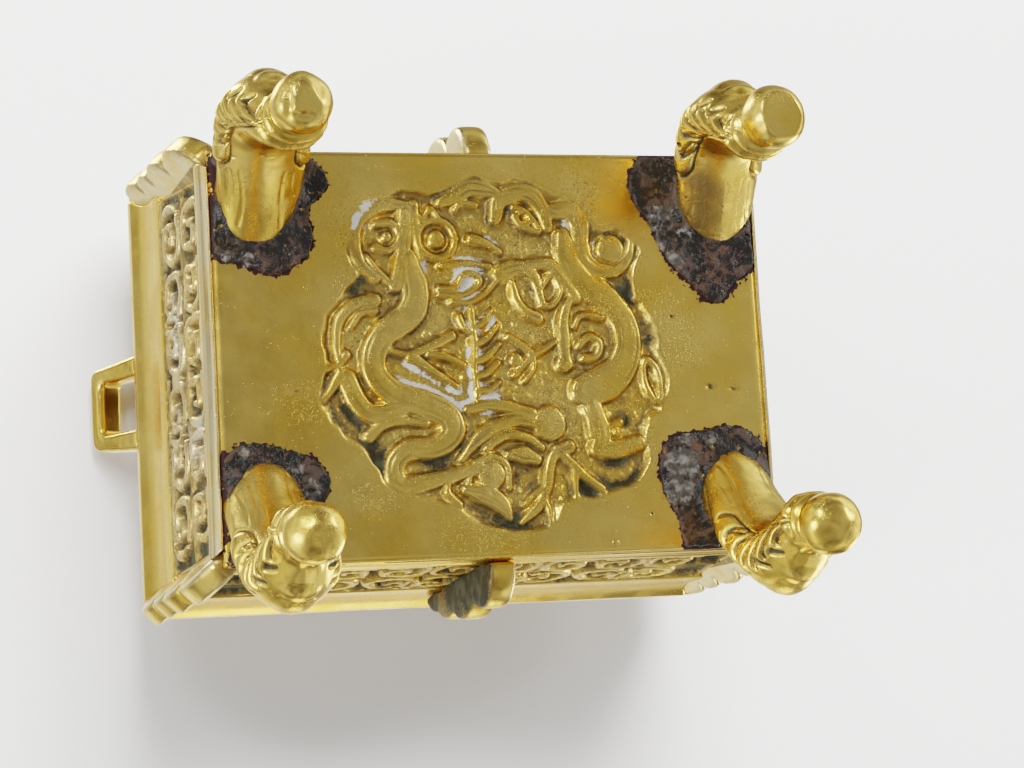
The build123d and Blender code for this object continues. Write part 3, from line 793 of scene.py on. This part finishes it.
def wall_relief(s, h, half_length, seed):
    """How far the panel's ornament stands out, as 0 to 1, mirrored about the middle."""
    flat = np.stack([s.ravel(), h.ravel(), 0 * s.ravel() + seed], 1)
    along = abs(s) + 0.5 * noise(flat, 5, seed).reshape(s.shape)
    level = h + 0.5 * noise(flat, 5, seed + 1).reshape(s.shape)
    depth = np.full(s.shape, -1e3)
    count = int((half_length - 4) / HOOK_STEP)
    for k in range(count):
        middle = (k + 0.5) * HOOK_STEP
        flip = -1 if k % 2 else 1
        for stroke, width in ((LOWER_HOOK, (2.6, 2.4, 2.0)), (UPPER_SCROLL, (2.8, 2.6, 1.6)),
                              (UPPER_CURL, (1.6, 2.6, 1.4))):
            points = [(middle + flip * p, q) for p, q in stroke]
            depth = np.maximum(depth, inside_stroke(along, level, points, width))
        boss = np.hypot(along - middle - 0.3 * flip, level - 37.0)
        depth = np.maximum(depth, 1.5 - boss)
    depth = np.maximum(depth, 3.2 - np.hypot(along, level - 36.0))
    for line in (11.4, 26.4, 45.4):
        depth = np.maximum(depth, 0.45 - abs(level - line))
    inside = smoothstep(half_length - 0.5, half_length - 3.0, abs(s))
    return smoothstep(-0.35, 0.45, depth) * inside


def place_on_side(node, along, out, height):
    """Turns wall coordinates into the frame's x, y and z."""
    side = node.split("_")[0]
    if side in SIDES:
        return np.stack([SIDES[side] * (HALF_X + out), along, PLATE_Z + height], -1)
    return np.stack([along, ENDS[side] * (HALF_Y + out), PLATE_Z + height], -1)


def make_wall(node, seed, material):
    short = node.split("_")[0] in SIDES
    half = HALF_Y if short else HALF_X
    outer, inner = wall_profile(short)
    t = np.linspace(-1, 1, int(2 * half / WALL_STEP))[None, :]
    profile = np.concatenate([outer, inner])
    out, height = profile[:, :1] + 0 * t, profile[:, 1:] + 0 * t
    s = t * (half + out - MITRE)
    raised = wall_relief(s, height, half, seed)
    panel = smoothstep(10.0, 11.6, height) * smoothstep(46.4, 45.6, height) * (out > -0.01)
    panel *= smoothstep(1.0, 0.97, abs(t))
    on_outside = (np.arange(len(profile)) < len(outer))[:, None]
    points = np.stack([s.ravel(), height.ravel(), out.ravel()], 1)
    grain = rough_noise(points, 1.3, seed + 3).reshape(s.shape)
    waves = noise(points, 11, seed + 4).reshape(s.shape)
    lines = noise(points * (0.02, 1.6, 0), 1.0, seed + 6).reshape(s.shape)
    bead = smoothstep(10, 8.6, height) * smoothstep(0.0, 0.6, out)
    keep = smoothstep(1.0, 0.985, abs(t)) * on_outside
    move = panel * (1.75 * raised - 0.95 + 0.16 * grain) + 0.10 * waves + 0.20 * bead * lines
    out = out + move * keep
    rows, cols = s.shape
    faces = list(grid_quads(rows, cols))
    last = (rows - 1) * cols
    faces += [[c, c + 1, last + c + 1, last + c] for c in range(cols - 1)]
    faces += [list(range(0, rows * cols, cols)), list(range(cols - 1, rows * cols, cols))]
    placed = place_on_side(node, s, out, height).reshape(-1, 3)
    piece = make_object(node + "_cast", placed, faces)
    # painted shade: the raised ornament gets some grime, and extra darkening on the long walls
    dulled_and_shaded = raised * ((0.10 if short else 0.20) + 0.2 * grain)
    grime_and_shade = panel * ((1 - raised) * (0.85 + 0.6 * grain) + dulled_and_shaded)
    inside = (profile[:, 1] < DULL_TOP)[:, None] & ~on_outside
    used = inside * (0.40 + 0.16 * grain + 0.16 * waves)
    filmed = smoothstep(-0.2, 0.6, noise(points * (1, 1, 0), 17, seed + 5)).reshape(s.shape)
    lodged = filmed * smoothstep(-0.5, 0.3, grain + 0.6 * raised)
    # painted reflection: the short walls' bead and panel are paled in patches
    film = np.maximum(0.62 * bead, panel * (0.35 + 0.45 * filmed))
    set_fields(piece, dirt=grime_and_shade * on_outside + used, grainy=0.6 * panel,
               residue=(0.42 if short else 0.12) * panel * lodged, film=short * film)
    finish_piece(piece, material, "brass", node)


# ---- flanges, handles and plug ------------------------------------------
# Notches down the edge of a corner flange and of a middle one: (out, height).
CORNER_NOTCHES = [(5.8, 26), (7.2, 42), (8.2, 53.5), (9.4, 67.7)]
MIDDLE_NOTCHES = [(8.6, 22), (10.2, 40), (9.6, 53), (5.4, 64)]
FLANGE_VOXEL = 0.42
HANDLE_VOXEL = 0.4
# How far a flange reaches, where it isn't as far as the others.
FLANGE_REACH = {"rear_right_flange": 0.8, "front_flange": 0.9}


def carve_notches(points, out, notches):
    """How deep each point sinks into the grooves that run in from the notches."""
    height = points[:, 2] - PLATE_Z
    depth = np.zeros(len(points))
    for notch_out, notch_height in notches:
        line = notch_height - 0.45 * (notch_out - out)
        near = np.exp(-((height - line) / 0.75) ** 2)
        depth = np.maximum(depth, near * smoothstep(notch_out - 4.0, notch_out - 0.5, out))
    return depth


def make_flange(node, seed, material):
    piece = remeshed_node(node, FLANGE_VOXEL, 34)
    points = read_points(piece)
    beyond_x, beyond_y = abs(points[:, 0]) - HALF_X, abs(points[:, 1]) - HALF_Y
    corner = node.count("_") == 2
    side_x, side_y = np.sign(points[:, :2].mean(axis=0))
    out = (beyond_x + beyond_y) / math.sqrt(2) if corner else beyond_y
    out = out / FLANGE_REACH.get(node, 1.0)
    depth = carve_notches(points, out, CORNER_NOTCHES if corner else MIDDLE_NOTCHES)
    move = -0.55 * depth + 0.12 * noise(points, 5, seed) + 0.04 * noise(points, 1.5, seed + 1)
    write_points(piece, points + move[:, None] * point_normals(piece))
    # the rear one's left side is darkened with painted shade, and what shows inside is as dull as
    # the walls
    left_side = np.maximum(-point_normals(piece)[:, 0], 0) * (node == "rear_flange")
    painted_shade_side = 0.95 * left_side
    inside = (out < 0.3) & (points[:, 2] < PLATE_Z + DULL_TOP)
    used = inside * (0.40 + 0.16 * noise(points, 1.3, seed + 3))
    mark_hollows(piece, 10, 0.4, 0.35 * depth + painted_shade_side + used)
    # painted reflection: faces turned across the flange are paled
    across = (side_x, -side_y, 0) / np.sqrt(2) if corner else np.array((1, 0, 0))
    set_fields(piece, film=0.65 * abs(point_normals(piece) @ across))
    finish_piece(piece, material, "brass", node)


def make_handle(node, seed, material):
    piece = remeshed_node(node, HANDLE_VOXEL, 6)
    points = read_points(piece)
    move = 0.10 * noise(points, 6, seed) + 0.03 * noise(points, 1.4, seed + 1)
    write_points(piece, points + move[:, None] * point_normals(piece))
    mark_hollows(piece, 20, 1.2)
    finish_piece(piece, material, "brass", node)


# Rings of the plug from its middle round to its back: (share of radius, rise, dirt).
PLUG_RINGS = [(0.02, 0.10, 0.0), (0.45, 0.08, 0.0), (0.80, 0.0, 0.35), (0.88, -0.16, 0.9),
              (0.96, -0.16, 0.9), (1.0, -0.02, 0.2), (1.0, -2.0, 0.0), (0.02, -2.0, 0.0)]


def make_plug(material):
    """The small round plug cast into the plate: a domed disc in a shallow ring."""
    low, high = node_box("casting_plug")
    middle, radius = (low + high) / 2, (high[0] - low[0]) / 2
    sections = [(PLATE_Z - rise, middle[1], radius * r, radius * r) for r, rise, _ in PLUG_RINGS]
    points, faces = loft(sections, 48)
    piece = make_object("casting_plug_cast", points + (middle[0], 0, 0), faces)
    set_fields(piece, dirt=np.repeat([dirt for _, _, dirt in PLUG_RINGS], 48))
    finish_piece(piece, material, "brass", "casting_plug")


# ---- braze round the legs -----------------------------------------------
CRUST_SPOTS = {
    "front_left": [(-63, -22.5, 3, 0.5), (-57, -21, 3, 0.5)],
    "front_right": [(42, -31, 4.5, 0.8), (38.5, -24, 5, 1.0), (43.5, -20.5, 4, 0.9),
                    (47, -27, 3, 0.6)],
    "rear_left": [(-60, 21.5, 2.5, 0.6), (-48.5, 25.5, 2.5, 0.6), (-45, 30, 3, 0.7)],
    "rear_right": [(43, 27, 5, 1.0), (41.5, 33, 4.5, 1.0), (50, 21, 3, 0.6), (44, 20.5, 3, 0.7)],
}
COPPER_SPOTS = {
    "front_left": [(-46, -20, 5, 0.5), (-51, -17, 4, 0.5)],
    "front_right": [(55, -19.5, 5.5, 0.6), (57, -23.5, 1.8, 1.0), (50, -15, 4, 0.6),
                    (40, -36, 4, 0.5)],
    "rear_left": [(-56, 22, 4, 0.5), (-46, 32, 2, 0.5)],
    "rear_right": [(47, 22.5, 2.2, 1.0), (39.5, 24, 2, 0.8), (42, 42, 5, 0.8),
                   (49, 25, 2.5, 0.8)],
}
BRAZE_STEP = 0.22


def leg_cover(name, x, y):
    """1 where a leg's column or its braze stands on the plate, 0 elsewhere."""
    cover = np.zeros(x.shape)
    up = Vector((0, 0, 1))
    for node in (name + "_braze", name + "_leg"):
        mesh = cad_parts[node].data
        tree = BVHTree.FromPolygons([v.co for v in mesh.vertices],
                                    [p.vertices for p in mesh.polygons])
        low, high = node_box(node)
        near = (x > low[0]) & (x < high[0]) & (y > low[1]) & (y < high[1])
        for i, j in np.argwhere(near):
            start = Vector((x[i, j], y[i, j], PLATE_Z - 1.0)) * MM
            if tree.ray_cast(start, up, 1.2 * MM)[0] is not None:
                cover[i, j] = 1.0
    return cover


def braze_height(name, x, y, seed):
    """The lumpy braze: how far it stands out, its crust, and 1 where it covers the plate."""
    cover = blur(leg_cover(name, x, y), 5)
    ragged = 0.36 * flat_noise(x, y, 3.2, seed, rough_noise) + 0.26 * flat_noise(x, y, 0.8, seed + 1)
    thick = smoothstep(0.38, 0.80, cover + ragged * (cover > 0.02))
    root = LEG_POINTS[name][0]
    gap = np.hypot(x - root[0], y - root[1]) - 9.1
    fillet = 1.5 * np.exp(-np.maximum(gap, 0) / 1.3)
    lumps = flat_noise(x, y, 4.5, seed + 2, rough_noise)
    bubbles = flat_noise(x, y, 1.1, seed + 3)
    crust = spot_field(x, y, CRUST_SPOTS[name])
    height = thick * (0.75 + 0.45 * lumps + 0.12 * bubbles + fillet + 0.5 * crust)
    height += thick * 0.22 * crust * bubbles
    height -= 1.9 * (thick < 0.04) + 0.5 * smoothstep(0.5, 0.0, plate_margin(x, y))
    return height, crust, thick


def make_braze(name, seed, material):
    node = name + "_braze"
    low, high = node_box(node)
    half = np.array((HALF_X - 0.05, HALF_Y - 0.05))
    low = np.maximum(low[:2] - 1.5, -half)
    high = np.minimum(high[:2] + 1.5, half)
    x, y = np.meshgrid(*(np.arange(low[axis], high[axis], BRAZE_STEP) for axis in (0, 1)))
    height, crust, thick = braze_height(name, x, y, seed)
    piece = cast_sheet(node + "_cast", x, y, height, [(1, PLATE_Z + 2.4)])
    copper = spot_field(x, y, COPPER_SPOTS[name])
    set_fields(piece, crust=crust, copper=copper, edge=1 - thick)
    finish_piece(piece, material, "braze", node)


# ---- materials ----------------------------------------------------------
class Nodes:
    """Short ways to wire the nodes of a material or of the world."""

    def __init__(self, owner, coordinates="Object"):
        owner.use_nodes = True
        self.tree = owner.node_tree
        self.place = self.add("ShaderNodeTexCoord").outputs[coordinates]

    def add(self, kind, **settings):
        node = self.tree.nodes.new(kind)
        for key, value in settings.items():
            setattr(node, key, value)
        return node

    def surface(self, name, value):
        """Sets one input of the material's main shader."""
        self.feed(self.tree.nodes["Principled BSDF"].inputs[name], value)

    def feed(self, socket, value):
        if isinstance(value, bpy.types.NodeSocket):
            self.tree.links.new(value, socket)
        else:
            socket.default_value = value

    def attribute(self, name):
        return self.add("ShaderNodeAttribute", attribute_name=name).outputs["Fac"]

    def math(self, operation, a, b=0.0, third=0.0):
        node = self.add("ShaderNodeMath", operation=operation)
        for socket, value in zip(node.inputs, (a, b, third)):
            self.feed(socket, value)
        return node.outputs[0]

    def times(self, a, b):
        return self.math("MULTIPLY", a, b)

    def roughened(self, value, noise, amount):
        """A value pushed up and down by noise that runs from 0 to 1."""
        return self.math("MULTIPLY_ADD", self.math("SUBTRACT", noise, 0.5), amount, value)

    def noise(self, lumps, detail=3.0, stretch=(1, 1, 1), distortion=0.0):
        """Noise with that many lumps in a metre, from 0 to 1."""
        node = self.add("ShaderNodeTexNoise")
        mapping = self.add("ShaderNodeMapping")
        mapping.inputs["Scale"].default_value = stretch
        self.feed(mapping.inputs["Vector"], self.place)
        self.feed(node.inputs["Vector"], mapping.outputs["Vector"])
        node.inputs["Scale"].default_value = lumps
        node.inputs["Detail"].default_value = detail
        node.inputs["Distortion"].default_value = distortion
        return node.outputs["Fac"]

    def cells(self, lumps):
        node = self.add("ShaderNodeTexVoronoi")
        self.feed(node.inputs["Vector"], self.place)
        node.inputs["Scale"].default_value = lumps
        return node.outputs["Distance"]

    def span(self, value, low, high, to_low=0.0, to_high=1.0):
        node = self.add("ShaderNodeMapRange", interpolation_type="SMOOTHSTEP")
        for index, number in enumerate((value, low, high, to_low, to_high)):
            self.feed(node.inputs[index], number)
        return node.outputs[0]

    def mix(self, amount, a, b):
        """Mixes two colours, or two numbers when neither is a colour."""
        colours = any(isinstance(v, tuple) or getattr(v, "type", "") == "RGBA" for v in (a, b))
        kind = "RGBA" if colours else "FLOAT"
        node = self.add("ShaderNodeMix", data_type=kind)
        first, second = [s for s in node.inputs if s.enabled][1:3]
        self.feed(node.inputs[0], amount)
        self.feed(first, a)
        self.feed(second, b)
        return [s for s in node.outputs if s.enabled][0]

    def bump(self, height, distance, strength=1.0, normal=None):
        node = self.add("ShaderNodeBump")
        node.inputs["Strength"].default_value = strength
        node.inputs["Distance"].default_value = distance
        self.feed(node.inputs["Height"], height)
        if normal is not None:
            self.feed(node.inputs["Normal"], normal)
        return node.outputs["Normal"]


BRASS_PALE = (0.90, 0.59, 0.135, 1)
BRASS_DEEP = (0.82, 0.48, 0.065, 1)
EDGE_TINT = (0.98, 0.90, 0.68, 1)
TARNISH = (0.25, 0.16, 0.050, 1)
SMEAR = (0.67, 0.45, 0.10, 1)
# pale colour laid as painted reflection
PAINTED_REFLECTION_PALE = (0.70, 0.63, 0.44, 1)
# dark colours laid for grime and for painted shade
GRIME_AND_SHADE_DARK = (0.034, 0.030, 0.015, 1)
GRIME_AND_SHADE_GREEN = (0.072, 0.074, 0.040, 1)
RESIDUE = (0.72, 0.72, 0.66, 1)
BURNT = (0.030, 0.012, 0.015, 1)
FLUX_BLACK = (0.0100, 0.0085, 0.0072, 1)
SCALE_BROWN = (0.072, 0.042, 0.027, 1)
SCALE_PURPLE = (0.038, 0.017, 0.016, 1)
COPPER = (0.14, 0.064, 0.034, 1)
CRUST_GREY = (0.060, 0.053, 0.045, 1)
CRUST_PALE = (0.25, 0.235, 0.21, 1)


def brass_material():
    """Polished old brass: scratches, pits, tarnish, grime and polish residue, with painted shade and
    a painted reflection.
    """
    material = bpy.data.materials.new("brass")
    n = Nodes(material)
    mottle = n.span(n.noise(75, 5.0), 0.32, 0.68, 0.6, 1.4)
    dirt = n.times(n.attribute("dirt"), mottle)
    clouds = n.noise(55, 4.0)
    fine = n.noise(1400, 5.0)
    colour = n.mix(n.span(clouds, 0.35, 0.65), BRASS_DEEP, BRASS_PALE)
    colour = n.mix(n.times(n.attribute("worn"), 0.6), colour, BRASS_PALE)
    smear = n.span(n.noise(48, 7.0, (1.0, 2.2, 1.0), 1.2), 0.38, 0.74)
    colour = n.mix(n.times(smear, 0.5), colour, SMEAR)
    # painted reflection: paled where the pieces are marked for it
    film = n.times(n.attribute("film"), n.span(n.noise(110, 5.0), 0.3, 0.6, 0.4, 1.0))
    colour = n.mix(film, colour, PAINTED_REFLECTION_PALE)
    pits = n.times(n.span(n.cells(900), 0.17, 0.07), n.span(n.noise(130), 0.50, 0.62))
    peppered = n.times(n.span(fine, 0.53, 0.60), n.times(n.attribute("grainy"), 0.95))
    # painted shade stored with the grime turns surfaces towards tarnish here, and towards black
    # below
    dull = n.math("MAXIMUM", n.math("MAXIMUM", pits, peppered), n.span(dirt, 0.04, 0.45))
    colour = n.mix(n.times(dull, 0.9), colour, TARNISH)
    black = n.span(n.roughened(dirt, fine, 1.2), 0.40, 0.85)
    grime_and_shade = n.mix(n.span(n.noise(260, 4.0), 0.42, 0.60), GRIME_AND_SHADE_DARK, GRIME_AND_SHADE_GREEN)
    colour = n.mix(black, colour, grime_and_shade)
    white = n.span(n.roughened(n.attribute("residue"), fine, 1.4), 0.35, 0.75)
    colour = n.mix(white, colour, RESIDUE)
    stain = n.attribute("stain")
    burnt = n.span(n.roughened(stain, n.noise(700, 6.0), 1.7), 0.26, 0.34)
    burnt = n.times(burnt, n.span(stain, 0.02, 0.10))
    colour = n.mix(burnt, colour, BURNT)
    cover = n.math("MAXIMUM", n.math("MAXIMUM", black, white), burnt)
    n.surface("Base Color", colour)
    n.surface("Metallic", n.math("SUBTRACT", 1.0, n.times(cover, 0.9)))
    polish = n.span(n.noise(140, 5.0), 0.3, 0.7, 0.16, 0.28)
    polish = n.math("MULTIPLY_ADD", smear, 0.07, polish)
    rough = n.mix(n.times(dull, 0.8), polish, 0.48)
    n.surface("Roughness", n.mix(cover, rough, 0.66))
    n.surface("Specular IOR Level", n.mix(cover, 0.5, 0.18))
    n.surface("Specular Tint", EDGE_TINT)
    scratches = n.noise(500, 2.0, (1, 16, 16), 0.4)
    normal = n.bump(scratches, 0.00003, 0.35)
    normal = n.bump(n.noise(230, 3.0), 0.00016, 0.40, normal)
    hollow = n.math("SUBTRACT", 1.0, n.math("MAXIMUM", pits, peppered))
    normal = n.bump(hollow, 0.00014, 0.55, normal)
    n.surface("Normal", normal)
    return material


def braze_material():
    """Burnt braze: glassy black flux, brown scale, grey crust and copper flecks."""
    material = bpy.data.materials.new("braze")
    n = Nodes(material)
    blotch = n.noise(230, 7.0, distortion=0.8)
    fine = n.noise(1500, 6.0)
    speck = n.noise(3200, 3.0)
    colour = n.mix(n.span(blotch, 0.47, 0.62), FLUX_BLACK, SCALE_BROWN)
    colour = n.mix(n.span(speck, 0.58, 0.70), colour, FLUX_BLACK)
    purple = n.span(n.math("MULTIPLY_ADD", fine, 0.6, n.attribute("edge")), 0.40, 0.80)
    colour = n.mix(purple, colour, SCALE_PURPLE)
    gold = n.times(n.span(n.noise(500, 4.0), 0.64, 0.69), n.span(blotch, 0.55, 0.45))
    colour = n.mix(gold, colour, TARNISH)
    flakes = n.noise(760, 7.0, distortion=0.6)
    rusty = n.span(n.roughened(n.attribute("copper"), flakes, 2.6), 0.30, 1.45)
    colour = n.mix(rusty, colour, COPPER)
    grey = n.mix(n.span(n.noise(480, 4.0), 0.42, 0.66), CRUST_GREY, CRUST_PALE)
    pale = n.span(n.roughened(n.attribute("crust"), flakes, 2.4), 0.35, 0.85)
    colour = n.mix(pale, colour, grey)
    n.surface("Base Color", colour)
    n.surface("Metallic", n.times(gold, 0.9))
    matt = n.math("MAXIMUM", n.math("MAXIMUM", pale, purple), rusty)
    gloss = n.span(blotch, 0.45, 0.62, 0.10, 0.46)
    n.surface("Roughness", n.mix(matt, gloss, 0.52))
    n.surface("Specular IOR Level", n.mix(matt, 0.36, 0.20))
    normal = n.bump(blotch, 0.0012, 0.7)
    normal = n.bump(fine, 0.0004, 0.7, normal)
    n.surface("Normal", normal)
    return material


# ---- camera, lights and stage -------------------------------------------
CAMERA_AT = Vector((-0.1648, 0.0824, -0.4789))
CAMERA_TARGET = Vector((0.0030, 0.0073, 0.0534))
CAMERA_UP = Vector((0.0172, -0.9893, -0.1449))
LENS = 86.7


def turn_towards(back, up):
    """Rotation whose -Z points away from `back`, with `up` as near +Y as it can be."""
    back = back.normalized()
    right = up.cross(back).normalized()
    return Matrix((right, back.cross(right), back)).transposed().to_4x4()


def add_camera():
    data = bpy.data.cameras.new("camera")
    data.lens = LENS
    data.sensor_width = 36
    data.clip_start = 0.01
    camera = add_object("camera", data)
    turn = turn_towards(CAMERA_AT - CAMERA_TARGET, CAMERA_UP)
    camera.matrix_world = Matrix.Translation(CAMERA_AT) @ turn
    bpy.context.scene.camera = camera


# Soft boxes: (place, size, watts, colour, lights the piece as well as the stage).
SOFT_BOXES = [
    ((0.15, -0.75, -0.90), 0.80, 82.0, (1.0, 0.995, 0.985), False),
    ((-0.25, -0.60, 1.20), 0.80, 82.0, (1.0, 0.995, 0.985), False),
    ((-0.55, -0.50, -0.75), 0.28, 5.0, (1.0, 1.0, 0.99), True),
    ((-0.80, 0.25, -0.35), 0.35, 5.0, (1.0, 1.0, 1.0), True),
    ((0.75, -0.30, -0.30), 0.25, 2.0, (1.0, 0.98, 0.95), True),
    ((-0.45, -0.65, 0.85), 0.35, 7.0, (1.0, 1.0, 0.99), True),
    ((0.80, 0.40, 0.55), 0.35, 5.0, (1.0, 0.98, 0.95), True),
    ((0.10, 0.78, 0.68), 0.36, 1.7, (1.0, 0.90, 0.70), True),
]


def add_lights(stage):
    """Soft boxes; the two big ones light only the stage, and the piece shades it."""
    middle = Vector((0, 0, CAD_HIGH[2] / 2))
    for index, (place, size, watts, colour, glossy) in enumerate(SOFT_BOXES):
        data = bpy.data.lights.new("soft_box_%d" % index, "AREA")
        data.shape = "SQUARE"
        data.size = size
        data.energy = watts
        data.color = colour
        light = add_object(data.name, data)
        back = Vector(place) - middle
        up = Vector((0, 0, 1)) if abs(back.normalized().z) < 0.95 else Vector((0, 1, 0))
        light.matrix_world = Matrix.Translation(place) @ turn_towards(back, up)
        light.visible_glossy = glossy
        if not glossy:
            light.light_linking.receiver_collection = stage


# How bright the studio is, by height from straight below (0) to straight above (1).
WORLD_STEPS = [(0.0, 0.42), (0.2, 0.40), (0.33, 0.50), (0.43, 0.95), (0.5, 1.5), (0.6, 1.1),
               (0.74, 0.40), (0.88, 0.65), (1.0, 2.0)]


def add_world():
    """A pale studio: bright all round and above, darker below on the camera's side."""
    world = bpy.data.worlds.new("studio")
    bpy.context.scene.world = world
    n = Nodes(world, "Generated")
    split = n.add("ShaderNodeSeparateXYZ")
    n.feed(split.inputs[0], n.place)
    ramp = n.add("ShaderNodeValToRGB")
    n.feed(ramp.inputs[0], n.math("MULTIPLY_ADD", split.outputs["Z"], 0.5, third=0.5))
    elements = ramp.color_ramp.elements
    while len(elements) < len(WORLD_STEPS):
        elements.new(0.5)
    for element, (at, grey) in zip(elements, WORLD_STEPS):
        element.position = at
        element.color = (grey / 2, grey / 2, grey / 2, 1)
    lean = n.math("ABSOLUTE", n.math("ADD", split.outputs["X"], 0.08))
    side = n.span(lean, 0.25, 0.95, 0.50, 1.35)
    level_with = n.span(n.math("ABSOLUTE", split.outputs["Z"]), 0.85, 0.6)
    side = n.mix(level_with, 1.0, side)
    soft, strong = n.span(n.noise(2.6, 2.0), 0.38, 0.62, 0.6, 1.4), n.noise(3.2, 3.0)
    patches = n.mix(level_with, soft, n.span(strong, 0.42, 0.60, 0.40, 1.55))
    level = n.times(n.times(side, patches), 2.0)
    background = n.tree.nodes["Background"]
    n.feed(background.inputs[0], ramp.outputs[0])
    n.feed(background.inputs[1], level)


STAGE_HALF = 12.0  # half a side of the floor, so wide that no view shows its edge


def stage_plane(name, height, faces_up):
    """A pale surface that shows only from the side it faces, so it never hides the piece."""
    material = bpy.data.materials.new(name)
    n = Nodes(material)
    n.surface("Base Color", (0.62, 0.62, 0.617, 1))
    n.surface("Roughness", 0.7)
    clear = n.add("ShaderNodeBsdfTransparent")
    choose = n.add("ShaderNodeMixShader")
    n.feed(choose.inputs[0], n.add("ShaderNodeNewGeometry").outputs["Backfacing"])
    n.feed(choose.inputs[1], n.tree.nodes["Principled BSDF"].outputs[0])
    n.feed(choose.inputs[2], clear.outputs[0])
    n.feed(n.tree.nodes["Material Output"].inputs["Surface"], choose.outputs[0])
    corners = [(x * STAGE_HALF, y * STAGE_HALF, height)
               for x, y in ((-1, -1), (1, -1), (1, 1), (-1, 1))]
    mesh = bpy.data.meshes.new(name)
    mesh.from_pydata(corners, [], [(0, 1, 2, 3) if faces_up else (3, 2, 1, 0)])
    mesh.materials.append(material)
    plane = add_object(name, mesh)
    plane.visible_shadow = False
    plane.visible_diffuse = False
    plane.visible_glossy = False
    return plane


def add_stage():
    """The floor it stands on, and the table it is laid on upside down."""
    stage = bpy.data.collections.new("stage")
    stage.objects.link(stage_plane("floor", CAD_LOW[2] - 0.0002, True))
    stage.objects.link(stage_plane("table", CAD_HIGH[2] + 0.0002, False))
    bpy.context.scene.view_settings.view_transform = "Filmic"
    return stage


add_camera()
add_lights(add_stage())
add_world()
BRASS = brass_material()
BRAZE = braze_material()
make_plate(BRASS)
make_plug(BRASS)
for seed, leg in enumerate(LEG_NAMES):
    make_leg(leg, 40 * seed, BRASS)
    make_braze(leg, 300 + 20 * seed, BRAZE)
for seed, place in enumerate([*SIDES, *ENDS]):
    make_wall(place + "_wall", 500 + 20 * seed, BRASS)
for seed, flange in enumerate([leg + "_flange" for leg in LEG_NAMES]
                              + [end + "_flange" for end in ENDS]):
    make_flange(flange, 600 + 20 * seed, BRASS)
for seed, side in enumerate(SIDES):
    make_handle(side + "_handle", 800 + 20 * seed, BRASS)
